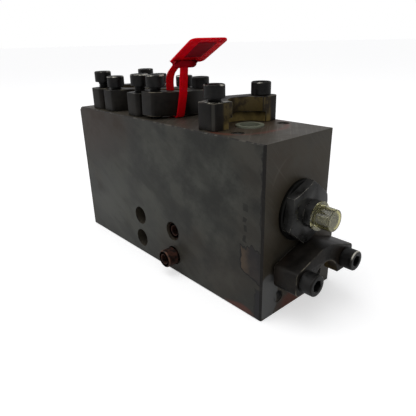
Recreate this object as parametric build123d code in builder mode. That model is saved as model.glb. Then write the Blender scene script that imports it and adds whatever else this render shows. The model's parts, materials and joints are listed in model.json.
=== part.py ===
from build123d import *
from math import cos, radians, sin, sqrt
import os

# Selector valve: a steel block with one pilot-shifted spool, three flange ports on top,
# one flange port on the right end and an inlet in the mounting pad behind.
# Millimetres. Origin: centre of the block's bottom face. +X is the pilot end,
# -Y the face with the screw holes, +Z up through the three top ports.

# Block
block_length = 256.0
block_depth = 88.0
block_height = 134.0
top_depth = 75.0
pad_height = 56.0
left_edge_chamfer = 3.5
front_edge_chamfer = 1.5
edge_chamfer = 0.8

# Flange ports, 3/4 inch high-pressure split-flange pattern
port_bore = 19.0
bolt_spacing_long = 50.8
bolt_spacing_short = 23.8
port_y = -4.5
port_a_x = -85.0
port_b_x = -19.5
port_c_x = 78.2
port_d_y = 1.4
port_d_z = 25.6

# Half flanges
flange_length = 71.0
flange_thickness = 20.0
flange_crown = 30.0
flange_end_width = 20.9
flange_corner = 3.5
flange_split_corner = 9.0
flange_edge = 0.8
split_gap = 3.4
neck_radius = 17.0
head_radius = 20.6
head_depth = 8.2
flange_b_tilt = 2.1
flange_b_play = 0.1
flange_d_lift = 3.0

# M10 socket head screws
screw_size = 10.0
screw_clearance_bore = 11.0
screw_head = 16.0
screw_head_height = 10.0
screw_socket = 8.0
screw_socket_depth = 5.0
screw_edge = 0.9
tapped_play = 0.05
tapped_depth = 28.0
mounting_screw_length = 90.0
mounting_bore_depth = 12.0
mounting_bore = 17.5
mounting_x = -1.1
mounting_z = 28.05
screw_pushed_out = 13.0
flange_screw_length = 35.0
# How far each head stands above its half: left near, left far, right near, right far
raised_a = (5.5, 5.0, 2.0, 1.0)
raised_b = (5.5, 1.0, 3.5, 0.4)
raised_c = (2.4, 0.4)
raised_d = (0.2, 0.2)

# Spool and its bore
spool_y = port_y
spool_z = 79.5
spool_bore = 25.0
spool_play = 0.03
spool_core = 14.0
spool_travel = 9.0
land_play = 0.2
spool_seal_length = 8.0
spool_opening = 3.0
spool_lap = 2.5
spool_divider = 7.0
relief_width = 0.8
relief_depth = 0.5
relief_pitch = 5.0
chamber_bore = 34.0
chamber_width = 12.0
gallery_bore = 14.0
inlet_gallery_x = 8.5
inlet_gallery_y = -6.5
outlet_gallery_x = 54.0
outlet_gallery_y = -1.5
gallery_overrun = 2.5

# End plugs of the spool bore
plug_thread = 36.0
plug_thread_length = 18.0
plug_collar = 46.5
plug_collar_height = 3.0
plug_hex = 41.0
plug_hex_turn = 8.5
plug_hex_height = 7.0
plug_hex_chamfer = 2.2
pilot_chamber = 20.0
pilot_chamber_depth = 14.0
spring_plug_hex_height = 15.0
spring_pocket = 22.4
spring_pocket_end = 5.0
spring_pocket_play = 1.0
stop_play = 0.2
seal_section = 2.6
seal_squeeze = 0.15

# Spring and its seat
spring_wire = 2.8
spring_mean = 17.4
spring_turns = 6.0
seat_flange = 24.0
seat_flange_height = 4.0
seat_spigot = 13.6
seat_spigot_height = 7.0
seat_taper = 2.0
seat_drain = 5.0

# Pilot adapter and its cap
adapter_thread = 14.0
adapter_stud_length = 11.0
adapter_washer = 18.4
adapter_washer_height = 1.0
adapter_washer_play = 0.3
adapter_hex = 19.0
adapter_hex_height = 6.0
adapter_hex_chamfer = 1.2
adapter_neck = 12.2
adapter_neck_height = 1.0
adapter_male_length = 11.0
adapter_bore = 6.0
adapter_mouth = 9.0
adapter_mouth_depth = 3.0
cap_rim = 21.5
cap_rim_height = 1.2
cap_foot = 17.0
cap_end = 16.0
cap_wall = 0.9
cap_play = 0.3
cap_gap = 0.4
cap_edge = 0.6

# Shipping plugs in the ports
plug_rim = 22.0
plug_rim_height = 1.2
plug_body_play = 0.3
plug_body_length = 13.0
plug_taper = 1.0
plug_wall = 1.4

# Screws that close the cross drillings underneath
gallery_plug_size = 16.0
gallery_plug_length = 11.0
gallery_plug_recess = 1.0
gallery_plug_socket = 8.0

# Groove and ring round the inlet in the mounting pad
pad_ring_outer = 32.0
pad_ring_section = 3.53
pad_groove_width = 4.0
pad_groove_depth = 2.8
pad_ring_play = 0.4

# Tag looped round the outer half flange of port B
strap_width = 7.0
strap_thickness = 1.0
strap_play = 0.25
loop_y = -15.4
loop_turn = -15.0
loop_points = [(-9.7, 0), (9.8, 0), (22.6, 41.9), (9.5, 43.4), (-9.9, 33.4)]
loop_radii = [3.0, 3.0, 2.0, 8.0, 12.0]
tag_lock_length = 19.6
tag_lock_width = 6.0
tag_lock_height = 5.0
tag_lock_place = (20.0, 40.6, -1.6)
tag_flag_width = 30.0
tag_flag_height = 48.0
tag_flag_thickness = 1.2
tag_flag_corner = 4.0
tag_flag_tilt = 21.0
tag_flag_place = (17.0, 45.7, -3.9)

os.makedirs("parts", exist_ok=True)

# Derived places
half_length = block_length / 2
half_depth = block_depth / 2
top_back = top_depth - half_depth
spool_axis = Axis((0, spool_y, spool_z), (1, 0, 0))
spool_plane = Plane(origin=(0, spool_y, spool_z), x_dir=(1, 0, 0), z_dir=(0, -1, 0))
top_ports = [port_a_x, port_b_x, port_c_x]
chambers = top_ports + [inlet_gallery_x, outlet_gallery_x]
top_face = Plane(origin=(0, port_y, block_height), x_dir=(1, 0, 0), z_dir=(0, 0, 1))
end_face = Plane(origin=(half_length, port_d_y, port_d_z), x_dir=(0, 0, 1), z_dir=(1, 0, 0))
front_face = Plane(origin=(mounting_x, -half_depth, mounting_z), x_dir=(1, 0, 0), z_dir=(0, -1, 0))
back_face = Plane(origin=(mounting_x, half_depth, mounting_z), x_dir=(1, 0, 0), z_dir=(0, 1, 0))
right_end = Plane(origin=(half_length, spool_y, spool_z), x_dir=(0, 0, 1), z_dir=(1, 0, 0))
left_end = Plane(origin=(-half_length, spool_y, spool_z), x_dir=(0, 0, 1), z_dir=(-1, 0, 0))
seal_seat = plug_thread + 2 * tapped_play + 2 * seal_section
seal_seat_depth = seal_section - seal_squeeze
gallery_seat_depth = gallery_plug_length + gallery_plug_recess
gallery_mouths = [
    Plane(origin=(inlet_gallery_x, inlet_gallery_y, 0), x_dir=(1, 0, 0), z_dir=(0, 0, -1)),
    Plane(origin=(outlet_gallery_x, outlet_gallery_y, 0), x_dir=(1, 0, 0), z_dir=(0, 0, -1)),
]
screw_places = [(-1, -1), (-1, 1), (1, -1), (1, 1)]

# Spool lands, from the edges of the chambers and the travel
half_chamber = chamber_width / 2
spool_land = spool_bore / 2 - spool_play
spool_left = port_a_x - half_chamber - spool_seal_length
spool_right = half_length - plug_thread_length - land_play
lands = [
    (spool_left, port_a_x + half_chamber - spool_opening),
    (port_b_x - spool_divider / 2, port_b_x + spool_divider / 2),
    (
        inlet_gallery_x - half_chamber - spool_lap + spool_travel,
        inlet_gallery_x + half_chamber - spool_opening + spool_travel,
    ),
    (
        outlet_gallery_x - half_chamber + spool_opening + spool_travel,
        outlet_gallery_x + half_chamber - spool_opening + spool_travel,
    ),
    (port_c_x - half_chamber + spool_opening + spool_travel, spool_right),
]
relief_places = []
for start, end in lands:
    count = max(1, int((end - start) / relief_pitch) - 1)
    relief_places += [(start + end) / 2 + (i - (count - 1) / 2) * relief_pitch for i in range(count)]

# Spring space between the seat and the end plug
seat_plane = Plane(origin=(spool_left, spool_y, spool_z), x_dir=(0, 0, 1), z_dir=(-1, 0, 0))
pocket_depth = plug_thread_length + plug_collar_height + spring_plug_hex_height - spring_pocket_end
seat_pocket_depth = (
    seat_flange_height + spool_travel - spool_left - half_length + plug_thread_length + stop_play
)
spring_right = spool_left - seat_flange_height
spring_left = -half_length + plug_thread_length - pocket_depth
spring_space = spring_right - spring_left
spring_pitch = spring_space / spring_turns

# Pilot adapter and cap
washer_x = half_length + plug_collar_height + plug_hex_height
washer_plane = Plane(origin=(washer_x, spool_y, spool_z), x_dir=(0, 0, 1), z_dir=(1, 0, 0))
adapter_seat_x = washer_x + adapter_washer_height
adapter_seat = Plane(origin=(adapter_seat_x, spool_y, spool_z), x_dir=(0, 0, 1), z_dir=(1, 0, 0))
adapter_length = adapter_hex_height + adapter_neck_height + adapter_male_length
cap_foot_x = adapter_seat_x + adapter_hex_height + cap_gap
cap_foot_plane = Plane(origin=(cap_foot_x, spool_y, spool_z), x_dir=(0, 0, 1), z_dir=(1, 0, 0))
cap_length = adapter_neck_height + adapter_male_length - cap_gap + cap_play + cap_wall

# The right half at port B leans on its far end, with the strap under its near end
lean = radians(flange_b_tilt)
lean_rise = flange_b_play + flange_length / 2 * sin(lean)
leaning_port_b = Plane(
    origin=(port_b_x, port_y - flange_thickness * sin(lean) / 2, block_height + lean_rise),
    x_dir=(1, 0, 0),
    z_dir=(0, sin(lean), cos(lean)),
)

# Tag planes: the loop stands across the leaning half, the flag leans back from its lock
turn = radians(loop_turn)
loop_plane = Plane(
    origin=(0, loop_y, block_height + strap_play + strap_thickness / 2),
    x_dir=(cos(turn), sin(turn), 0),
    z_dir=(sin(turn), -cos(turn), 0),
)
tag_along = Vector(-sin(turn), cos(turn), 0)
tilt = radians(tag_flag_tilt)
tag_up = Vector(cos(turn) * cos(tilt), sin(turn) * cos(tilt), sin(tilt))
lock_centre = loop_plane.from_local_coords(Vector(*tag_lock_place))
lock_plane = Plane(origin=lock_centre, x_dir=tag_along, z_dir=(0, 0, 1))
flag_foot = loop_plane.from_local_coords(Vector(*tag_flag_place))
flag_plane = Plane(origin=flag_foot, x_dir=tag_along, z_dir=tag_along.cross(tag_up))


def moved(plane, x, y, z=0.0):
    """The plane shifted in its own directions."""
    return Plane(origin=plane.from_local_coords(Vector(x, y, z)), x_dir=plane.x_dir, z_dir=plane.z_dir)


def facing(plane, x, side):
    """The plane at a port, with its local x turned towards one half's crown."""
    return Plane(origin=moved(plane, x, 0).origin, x_dir=plane.x_dir * side, z_dir=plane.z_dir)


def half_flange(plane):
    """One half of a split flange: local x to its crown, local y along it, z out of the face."""
    corner_x = flange_end_width - flange_corner
    corner_y = flange_length / 2 - flange_corner
    with BuildPart() as half:
        with BuildSketch(plane) as outline:
            Circle(flange_crown)
            with Locations((corner_x, corner_y), (corner_x, -corner_y)):
                Circle(flange_corner)
            make_hull(outline.edges())
            with Locations((split_gap / 2 - flange_crown, 0)):
                Rectangle(flange_crown * 2, flange_length * 2, mode=Mode.SUBTRACT)
            with Locations((split_gap / 2, 0)):
                Rectangle(corner_x, flange_length, align=(Align.MIN, Align.CENTER))
        extrude(amount=flange_thickness)
        split_corners = half.edges().filter_by(Axis(plane.origin, plane.z_dir))
        split_corners = split_corners.sort_by(Axis(plane.origin, plane.x_dir))[:2]
        fillet(split_corners, flange_split_corner)
        outer_face = half.faces().sort_by(Axis(plane.origin, plane.z_dir))[-1]
        chamfer(outer_face.edges(), flange_edge)
        with Locations(moved(plane, 0, 0, flange_thickness)):
            Hole(neck_radius, flange_thickness)
        with BuildSketch(plane):
            Circle(head_radius)
        extrude(amount=head_depth, mode=Mode.SUBTRACT)
        with Locations(moved(plane, bolt_spacing_short / 2, 0, flange_thickness)):
            with Locations((0, bolt_spacing_long / 2), (0, -bolt_spacing_long / 2)):
                Hole(screw_clearance_bore / 2, flange_thickness)
    return half.part


def cap_screw(plane, length):
    """A socket head cap screw: the plane lies under its head and looks out along it."""
    with BuildPart() as screw:
        with BuildSketch(plane):
            Circle(screw_head / 2)
        extrude(amount=screw_head_height)
        top = screw.faces().sort_by(Axis(plane.origin, plane.z_dir))[-1]
        chamfer(top.edges(), screw_edge)
        with BuildSketch(moved(plane, 0, 0, screw_head_height)):
            RegularPolygon(screw_socket / 2, 6, major_radius=False)
        extrude(amount=-screw_socket_depth, mode=Mode.SUBTRACT)
        with BuildSketch(plane):
            Circle(screw_size / 2)
        extrude(amount=-length)
        tip = screw.faces().sort_by(Axis(plane.origin, plane.z_dir))[0]
        chamfer(tip.edges(), screw_edge)
    return screw.part


def ring(plane, outer, section, squeeze=0.0):
    """A rubber ring lying on a plane, its section pressed a little flat."""
    with BuildPart() as seal:
        with BuildSketch(Plane(origin=plane.origin, x_dir=plane.x_dir, z_dir=-plane.y_dir)):
            with Locations((outer / 2 - section / 2, (section - squeeze) / 2)):
                Ellipse(section / 2, (section - squeeze) / 2)
        revolve(axis=Axis(plane.origin, plane.z_dir))
    return seal.part


def hex_head(plane, across, height, edge, turn=0.0):
    """A hexagon standing on a plane, with the corners of its outer face turned off."""
    corner = across / sqrt(3)
    with BuildPart() as head:
        with BuildSketch(plane):
            RegularPolygon(across / 2, 6, major_radius=False, rotation=turn)
        extrude(amount=height)
        with BuildSketch(Plane(origin=plane.origin, x_dir=plane.x_dir, z_dir=-plane.y_dir)):
            with BuildLine():
                Polyline(
                    (0, 0), (corner, 0), (corner, height - edge / 2), (corner - edge, height), (0, height),
                    close=True,
                )
            make_face()
        revolve(axis=Axis(plane.origin, plane.z_dir), mode=Mode.INTERSECT)
    return head.part


def port_plug(plane):
    """A thin plastic cup that closes a port: its rim rests on the plane."""
    with BuildPart() as plug:
        with BuildSketch(plane):
            Circle(plug_rim / 2)
        extrude(amount=plug_rim_height)
        with BuildSketch(plane):
            Circle(port_bore / 2 - plug_body_play)
        extrude(amount=-plug_body_length, taper=plug_taper)
        with Locations(moved(plane, 0, 0, plug_rim_height)):
            Hole(port_bore / 2 - plug_body_play - plug_wall, plug_rim_height + plug_body_length - plug_wall)
    return plug.part


def keep(part, name):
    """Label a finished piece and write its file."""
    part.label = name
    export_step(part, f"parts/{name}.step")
    print(name, len(part.solids()), round(part.volume))


# Block with its ports, drillings and tapped holes
with BuildPart() as valve_block:
    with BuildSketch(Plane.YZ.offset(-half_length)):
        with BuildLine():
            Polyline(
                (-half_depth, 0), (half_depth, 0), (half_depth, pad_height), (top_back, pad_height),
                (top_back, block_height), (-half_depth, block_height), close=True,
            )
        make_face()
    extrude(amount=block_length)
    left_face_edges = valve_block.faces().sort_by(Axis.X)[0].edges()
    chamfer(left_face_edges.filter_by(Axis.Y).sort_by(Axis.Z)[-1], left_edge_chamfer)
    right_face_edges = valve_block.faces().sort_by(Axis.X)[-1].edges()
    chamfer(right_face_edges.filter_by(Axis.Z).sort_by(Axis.Y)[0], front_edge_chamfer)
    chamfer(valve_block.edges().filter_by(Axis.X).group_by(Axis.Y)[0], edge_chamfer)
    with Locations(right_end):
        Hole(spool_bore / 2, block_length)
    with Locations(right_end, left_end):
        CounterBoreHole(plug_thread / 2 + tapped_play, seal_seat / 2, seal_seat_depth, plug_thread_length)
    for x in chambers:
        with BuildSketch(moved(right_end, 0, 0, x - half_length)):
            Circle(chamber_bore / 2)
        extrude(amount=chamber_width / 2, both=True, mode=Mode.SUBTRACT)
    for x in top_ports:
        with Locations(moved(top_face, x, 0)):
            Hole(port_bore / 2, block_height - spool_z)
            with GridLocations(bolt_spacing_short, bolt_spacing_long, 2, 2):
                Hole(screw_size / 2 + tapped_play, tapped_depth)
    with Locations(end_face):
        Hole(port_bore / 2, half_length - outlet_gallery_x + gallery_bore / 2)
        with GridLocations(bolt_spacing_short, bolt_spacing_long, 2, 2):
            Hole(screw_size / 2 + tapped_play, tapped_depth)
    with Locations(back_face):
        Hole(port_bore / 2, half_depth - inlet_gallery_y + gallery_overrun)
    with Locations(front_face):
        with GridLocations(bolt_spacing_long, bolt_spacing_short, 2, 2):
            CounterBoreHole(screw_clearance_bore / 2, mounting_bore / 2, mounting_bore_depth, block_depth)
    with Locations(*gallery_mouths):
        CounterBoreHole(gallery_bore / 2, gallery_plug_size / 2 + tapped_play, gallery_seat_depth, spool_z)
    with BuildSketch(back_face):
        Circle(pad_ring_outer / 2)
        Circle(pad_ring_outer / 2 - pad_groove_width, mode=Mode.SUBTRACT)
    extrude(amount=-pad_groove_depth, mode=Mode.SUBTRACT)
keep(valve_block.part, "valve_block")

# Half flanges
loose_port_d = moved(end_face, 0, 0, flange_d_lift)
keep(half_flange(facing(top_face, port_a_x, -1)), "flange_a_left")
keep(half_flange(facing(top_face, port_a_x, 1)), "flange_a_right")
keep(half_flange(facing(top_face, port_b_x, -1)), "flange_b_left")
keep(half_flange(leaning_port_b), "flange_b_right")
keep(half_flange(facing(top_face, port_c_x, -1)), "flange_c_left")
keep(half_flange(loose_port_d), "flange_d_upper")

# Flange screws, each standing as high above its half as it was left
top_screws = [
    ("flange_a_screws", port_a_x, raised_a, 0),
    ("flange_b_screws", port_b_x, raised_b, lean),
    ("flange_c_screws", port_c_x, raised_c, 0),
]
for name, x, raised, right_lean in top_screws:
    with BuildPart() as screws:
        for (side, end), rise in zip(screw_places, raised):
            seat = flange_thickness + rise
            if side > 0 and right_lean:
                seat += lean_rise - end * bolt_spacing_long / 2 * sin(right_lean)
            place = moved(top_face, x + side * bolt_spacing_short / 2, end * bolt_spacing_long / 2, seat)
            add(cap_screw(place, flange_screw_length))
    keep(screws.part, name)
with BuildPart() as flange_d_screws:
    for end, rise in zip((1, -1), raised_d):
        seat = flange_d_lift + flange_thickness + rise
        place = moved(end_face, bolt_spacing_short / 2, end * bolt_spacing_long / 2, seat)
        add(cap_screw(place, flange_screw_length))
keep(flange_d_screws.part, "flange_d_screws")

# Mounting screws in two of the four through holes, the lower one pushed out
upper_seat = moved(front_face, bolt_spacing_long / 2, bolt_spacing_short / 2, -mounting_bore_depth)
lower_seat = moved(
    front_face, bolt_spacing_long / 2, -bolt_spacing_short / 2, screw_pushed_out - mounting_bore_depth
)
keep(cap_screw(upper_seat, mounting_screw_length), "mounting_screw_upper")
keep(cap_screw(lower_seat, mounting_screw_length), "mounting_screw_lower")

# Main spool: lands a close fit in the bore, joined by a thinner core
with BuildPart() as main_spool:
    with BuildSketch(spool_plane):
        for start, end in lands:
            with Locations(((start + end) / 2, 0)):
                Rectangle(end - start, spool_land, align=(Align.CENTER, Align.MIN))
        with Locations(((spool_left + spool_right) / 2, 0)):
            Rectangle(spool_right - spool_left, spool_core / 2, align=(Align.CENTER, Align.MIN))
        for x in relief_places:
            with Locations((x, spool_land)):
                Rectangle(relief_width, 2 * relief_depth, mode=Mode.SUBTRACT)
    revolve(axis=spool_axis)
keep(main_spool.part, "main_spool")

# Spring seat, spring and the plug that holds them
with BuildPart() as spring_seat:
    with BuildSketch(seat_plane):
        Circle(seat_flange / 2)
    extrude(amount=seat_flange_height)
    with BuildSketch(moved(seat_plane, 0, 0, seat_flange_height)):
        Circle(seat_spigot / 2)
    extrude(amount=seat_spigot_height, taper=seat_taper)
    with Locations(moved(seat_plane, 0, 0, seat_flange_height + seat_spigot_height)):
        Hole(seat_drain / 2, seat_flange_height + seat_spigot_height)
keep(spring_seat.part, "spring_seat")

with BuildPart() as return_spring:
    with BuildLine() as coil:
        Helix(
            spring_pitch, spring_space + 2 * spring_wire, spring_mean / 2,
            center=(spring_left - spring_wire, spool_y, spool_z), direction=(1, 0, 0),
        )
    with BuildSketch(Plane(origin=coil.line @ 0, z_dir=coil.line % 0)):
        Circle(spring_wire / 2)
    sweep(path=coil.line, is_frenet=True)
    split(bisect_by=Plane.YZ.offset(spring_left), keep=Keep.TOP)
    split(bisect_by=Plane.YZ.offset(spring_right), keep=Keep.BOTTOM)
keep(return_spring.part, "return_spring")

with BuildPart() as spring_end_plug:
    with BuildSketch(moved(left_end, 0, 0, -plug_thread_length)):
        Circle(plug_thread / 2)
    extrude(amount=plug_thread_length)
    with BuildSketch(left_end):
        Circle(plug_collar / 2)
    extrude(amount=plug_collar_height)
    chamfer(spring_end_plug.faces().sort_by(Axis.X)[0].edges(), flange_edge)
    add(hex_head(moved(left_end, 0, 0, plug_collar_height), plug_hex, spring_plug_hex_height, plug_hex_chamfer))
    with Locations(Plane(origin=moved(left_end, 0, 0, -plug_thread_length).origin, z_dir=(1, 0, 0))):
        CounterBoreHole(spring_pocket / 2, seat_flange / 2 + spring_pocket_play, seat_pocket_depth, pocket_depth)
keep(spring_end_plug.part, "spring_end_plug")

# Pilot end plug: collar, hexagon and the chamber that pushes the spool
with BuildPart() as pilot_end_plug:
    with BuildSketch(moved(right_end, 0, 0, -plug_thread_length)):
        Circle(plug_thread / 2)
    extrude(amount=plug_thread_length)
    with BuildSketch(right_end):
        Circle(plug_collar / 2)
    extrude(amount=plug_collar_height)
    chamfer(pilot_end_plug.faces().sort_by(Axis.X)[-1].edges(), flange_edge)
    hex_seat = moved(right_end, 0, 0, plug_collar_height)
    add(hex_head(hex_seat, plug_hex, plug_hex_height, plug_hex_chamfer, -plug_hex_turn))
    with Locations(Plane(origin=moved(right_end, 0, 0, -plug_thread_length).origin, z_dir=(-1, 0, 0))):
        Hole(pilot_chamber / 2, pilot_chamber_depth)
    with Locations(washer_plane):
        Hole(adapter_thread / 2 + tapped_play, plug_thread_length + plug_collar_height + plug_hex_height)
keep(pilot_end_plug.part, "pilot_end_plug")

for name, plane in [("spring_plug_seal", left_end), ("pilot_plug_seal", right_end)]:
    keep(ring(moved(plane, 0, 0, -seal_seat_depth), seal_seat, seal_section, seal_squeeze), name)

# Pilot adapter on its washer, and its push-on cap
with BuildPart() as pilot_adapter_washer:
    with BuildSketch(washer_plane):
        Circle(adapter_washer / 2)
        Circle(adapter_thread / 2 + adapter_washer_play, mode=Mode.SUBTRACT)
    extrude(amount=adapter_washer_height)
keep(pilot_adapter_washer.part, "pilot_adapter_washer")

with BuildPart() as pilot_adapter:
    add(hex_head(adapter_seat, adapter_hex, adapter_hex_height, adapter_hex_chamfer, -plug_hex_turn))
    with BuildSketch(adapter_seat):
        Circle(adapter_thread / 2)
    extrude(amount=-adapter_stud_length)
    with BuildSketch(moved(adapter_seat, 0, 0, adapter_hex_height)):
        Circle(adapter_neck / 2)
    extrude(amount=adapter_neck_height)
    with BuildSketch(moved(adapter_seat, 0, 0, adapter_hex_height + adapter_neck_height)):
        Circle(adapter_thread / 2)
    extrude(amount=adapter_male_length)
    chamfer(pilot_adapter.faces().sort_by(Axis.X)[-1].edges(), screw_edge)
    with Locations(moved(adapter_seat, 0, 0, adapter_length)):
        CounterBoreHole(adapter_bore / 2, adapter_mouth / 2, adapter_mouth_depth)
keep(pilot_adapter.part, "pilot_adapter")

with BuildPart() as pilot_cap:
    with BuildSketch(cap_foot_plane):
        Circle(cap_rim / 2)
    extrude(amount=cap_rim_height)
    with BuildSketch(cap_foot_plane) as foot:
        Circle(cap_foot / 2)
    with BuildSketch(moved(cap_foot_plane, 0, 0, cap_length)) as tip:
        Circle(cap_end / 2)
    loft([foot.sketch, tip.sketch])
    fillet(pilot_cap.faces().sort_by(Axis.X)[-1].edges(), cap_edge)
    with Locations(Plane(origin=cap_foot_plane.origin, z_dir=(-1, 0, 0))):
        Hole(adapter_thread / 2 + cap_play, cap_length - cap_wall)
keep(pilot_cap.part, "pilot_cap")

# Shipping plugs in the five ports
for name, plane in [
    ("port_plug_a", moved(top_face, port_a_x, 0)),
    ("port_plug_b", moved(top_face, port_b_x, 0)),
    ("port_plug_c", moved(top_face, port_c_x, 0)),
    ("port_plug_d", end_face),
    ("port_plug_inlet", back_face),
]:
    keep(port_plug(plane), name)

# Socket screws that close the two cross drillings underneath
with BuildPart() as gallery_plugs:
    for mouth in gallery_mouths:
        top = moved(mouth, 0, 0, -gallery_plug_recess)
        with BuildSketch(top):
            Circle(gallery_plug_size / 2)
        extrude(amount=-gallery_plug_length)
        with BuildSketch(top):
            RegularPolygon(gallery_plug_socket / 2, 6, major_radius=False)
        extrude(amount=-screw_socket_depth, mode=Mode.SUBTRACT)
keep(gallery_plugs.part, "gallery_plugs")

groove_floor = moved(back_face, 0, 0, -pad_groove_depth)
keep(ring(groove_floor, pad_ring_outer - pad_ring_play, pad_ring_section), "inlet_ring")

# Tag: a moulded strap looped round the leaning half, with its lock and flag
with BuildPart() as identity_tag:
    with BuildSketch(loop_plane):
        with BuildLine():
            FilletPolyline(*loop_points, radius=loop_radii, close=True)
        trace(line_width=strap_thickness)
    extrude(amount=strap_width / 2, both=True)
    with BuildSketch(lock_plane):
        SlotOverall(tag_lock_length, tag_lock_width)
    extrude(amount=tag_lock_height)
    with BuildSketch(flag_plane):
        with Locations((0, tag_flag_height / 2)):
            RectangleRounded(tag_flag_width, tag_flag_height, tag_flag_corner)
    extrude(amount=tag_flag_thickness / 2, both=True)
keep(identity_tag.part, "identity_tag")
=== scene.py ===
import json
from math import acos, atan2, cos, degrees, pi, radians, sin, tan

import bpy
from mathutils import Matrix, Vector


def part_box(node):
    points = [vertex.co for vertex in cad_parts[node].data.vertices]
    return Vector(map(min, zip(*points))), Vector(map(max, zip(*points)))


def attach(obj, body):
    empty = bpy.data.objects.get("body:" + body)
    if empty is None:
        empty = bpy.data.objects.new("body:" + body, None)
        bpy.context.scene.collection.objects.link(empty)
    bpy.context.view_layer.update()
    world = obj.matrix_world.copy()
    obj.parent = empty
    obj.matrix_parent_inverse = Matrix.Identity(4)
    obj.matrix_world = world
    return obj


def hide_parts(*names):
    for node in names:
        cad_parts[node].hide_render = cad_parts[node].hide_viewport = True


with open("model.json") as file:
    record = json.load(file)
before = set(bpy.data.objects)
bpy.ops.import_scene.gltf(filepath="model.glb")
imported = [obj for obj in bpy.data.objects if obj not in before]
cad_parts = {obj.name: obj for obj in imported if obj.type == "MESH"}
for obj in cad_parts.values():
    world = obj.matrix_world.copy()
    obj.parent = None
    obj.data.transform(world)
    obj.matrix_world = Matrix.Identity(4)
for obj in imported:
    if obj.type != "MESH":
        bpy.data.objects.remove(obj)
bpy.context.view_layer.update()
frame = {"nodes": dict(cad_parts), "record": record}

mm = 0.001
print("frame loaded:", len(frame["nodes"]), "CAD nodes")


# shader tools

class Wire:  # a socket that takes part in sums
    def __init__(self, paint, socket):
        self.paint = paint
        self.socket = socket

    def sum(self, operation, first, second=0.0):
        return self.paint.node("ShaderNodeMath", {"operation": operation}, {0: first, 1: second})

    def __add__(self, other):
        return self.sum("ADD", self, other)

    def __radd__(self, other):
        return self.sum("ADD", other, self)

    def __sub__(self, other):
        return self.sum("SUBTRACT", self, other)

    def __rsub__(self, other):
        return self.sum("SUBTRACT", other, self)

    def __mul__(self, other):
        return self.sum("MULTIPLY", self, other)

    def __rmul__(self, other):
        return self.sum("MULTIPLY", other, self)

    def __truediv__(self, other):
        return self.sum("DIVIDE", self, other)

    def __rtruediv__(self, other):
        return self.sum("DIVIDE", other, self)

    def __abs__(self):
        return self.sum("ABSOLUTE", self)

    def orMore(self, other):
        return self.sum("MAXIMUM", self, other)

    def rise(self, low, high):  # 0 below low, 1 above high, smooth between
        span = {"Value": self, "From Min": low, "From Max": high}
        return self.paint.node("ShaderNodeMapRange", {"interpolation_type": "SMOOTHSTEP"}, span)


class Paint:  # the nodes of one material, of the floor or of the world
    def __init__(self, tree):
        self.tree = tree
        self.tree.nodes.clear()

    def node(self, kind, settings=None, sockets=None, output=0):
        made = self.tree.nodes.new(kind)
        for name, value in (settings or {}).items():
            setattr(made, name, value)
        for name, value in (sockets or {}).items():
            if isinstance(value, Wire):
                self.tree.links.new(value.socket, made.inputs[name])
            else:
                made.inputs[name].default_value = value
        return Wire(self, made.outputs[output] if len(made.outputs) else None)

    def place(self):
        return self.node("ShaderNodeTexCoord", output="Object")

    def facing(self):
        return self.node("ShaderNodeTexCoord", output="Normal")

    def parts(self, vector):  # x, y and z of a vector
        return [self.node("ShaderNodeSeparateXYZ", None, {"Vector": vector}, axis) for axis in "XYZ"]

    def vector(self, operation, first, second, output=0):
        return self.node("ShaderNodeVectorMath", {"operation": operation}, {0: first, 1: second}, output)

    def noise(self, at, scale, detail=4.0, roughness=0.55, output="Fac"):
        sockets = {"Vector": at, "Scale": scale, "Detail": detail, "Roughness": roughness}
        return self.node("ShaderNodeTexNoise", None, sockets, output)

    def turned(self, at, angles, stretch):  # coordinates turned, then squeezed along their own axes
        settings = {"vector_type": "TEXTURE"}
        back = self.node("ShaderNodeMapping", settings, {"Vector": at, "Rotation": [radians(a) for a in angles]})
        return self.vector("MULTIPLY", back, stretch)

    def shaken(self, at, scale, amount):  # coordinates moved about by noise
        cloud = self.vector("SUBTRACT", self.noise(at, scale, output="Color"), (0.5, 0.5, 0.5))
        return self.vector("ADD", at, self.vector("MULTIPLY", cloud, (amount, amount, amount)))

    def spot(self, at, centre, size, soft=0.35):  # 1 inside an ellipsoid, fading over soft of its size
        inner = self.vector("DIVIDE", self.vector("SUBTRACT", at, centre), size)
        return 1 - self.node("ShaderNodeVectorMath", {"operation": "LENGTH"}, {0: inner}, "Value").rise(1 - soft, 1)

    def blend(self, share, first, second):
        colours = {0: share, 6: first, 7: second}
        return self.node("ShaderNodeMix", {"data_type": "RGBA"}, colours, 2)

    def bump(self, height, distance, strength=1.0):
        return self.node("ShaderNodeBump", None, {"Height": height, "Distance": distance, "Strength": strength})

    def surface(self, sockets):
        shader = self.node("ShaderNodeBsdfPrincipled", None, sockets)
        self.end("ShaderNodeOutputMaterial", shader)

    def end(self, kind, shader):
        self.node(kind, None, {"Surface": shader})


def colour(red, green, blue):  # a colour as read off a screen, 0 to 255, for a socket
    def linear(value):
        share = value / 255
        return share / 12.92 if share <= 0.04045 else ((share + 0.055) / 1.055) ** 2.4
    return (linear(red), linear(green), linear(blue), 1.0)


def newPaint(name):
    material = bpy.data.materials.new(name)
    material.use_nodes = True
    return material, Paint(material.node_tree)


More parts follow.
